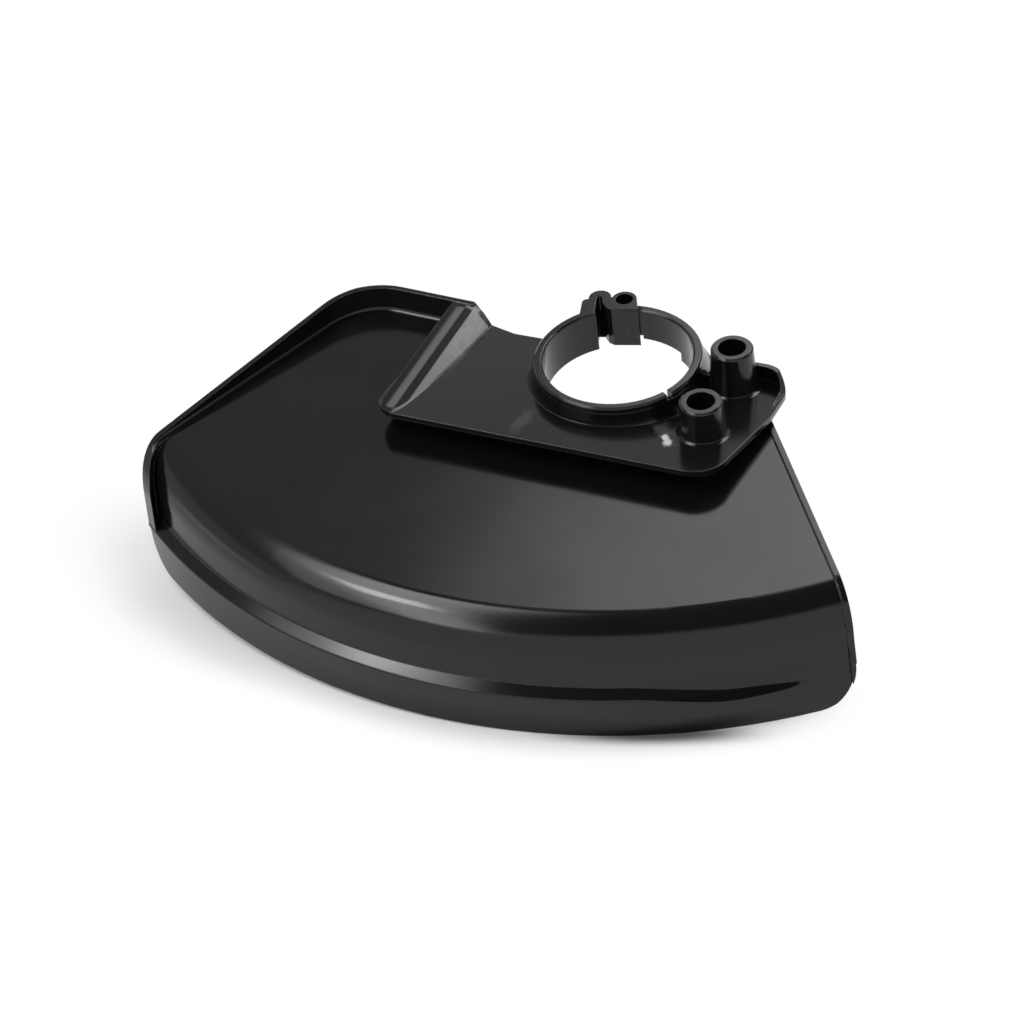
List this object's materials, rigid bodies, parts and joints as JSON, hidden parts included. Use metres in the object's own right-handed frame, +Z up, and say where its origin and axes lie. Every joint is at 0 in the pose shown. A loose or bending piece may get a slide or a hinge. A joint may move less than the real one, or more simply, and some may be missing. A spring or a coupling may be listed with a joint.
{
  "type": "trimmer blade guard",
  "caption": "Fan-shaped moulded plastic guard with a curved stepped skirt, a split collar for the machine's neck and screw bosses on a raised bracket.",
  "frame": {"origin": "on the collar's axis, at the level of the fan's flat top", "axes": "+Z up along the collar's axis, -Y out to the middle of the curved skirt, +X along the bracket's straight front edge"},
  "size_m": [0.2687, 0.1766, 0.0577],
  "materials": {
    "guard_plastic": "black injection moulded plastic, semi-gloss, with soft reflections"
  },
  "bodies": {
    "root": {"guard": "guard_plastic"}
  },
  "joints": []
}
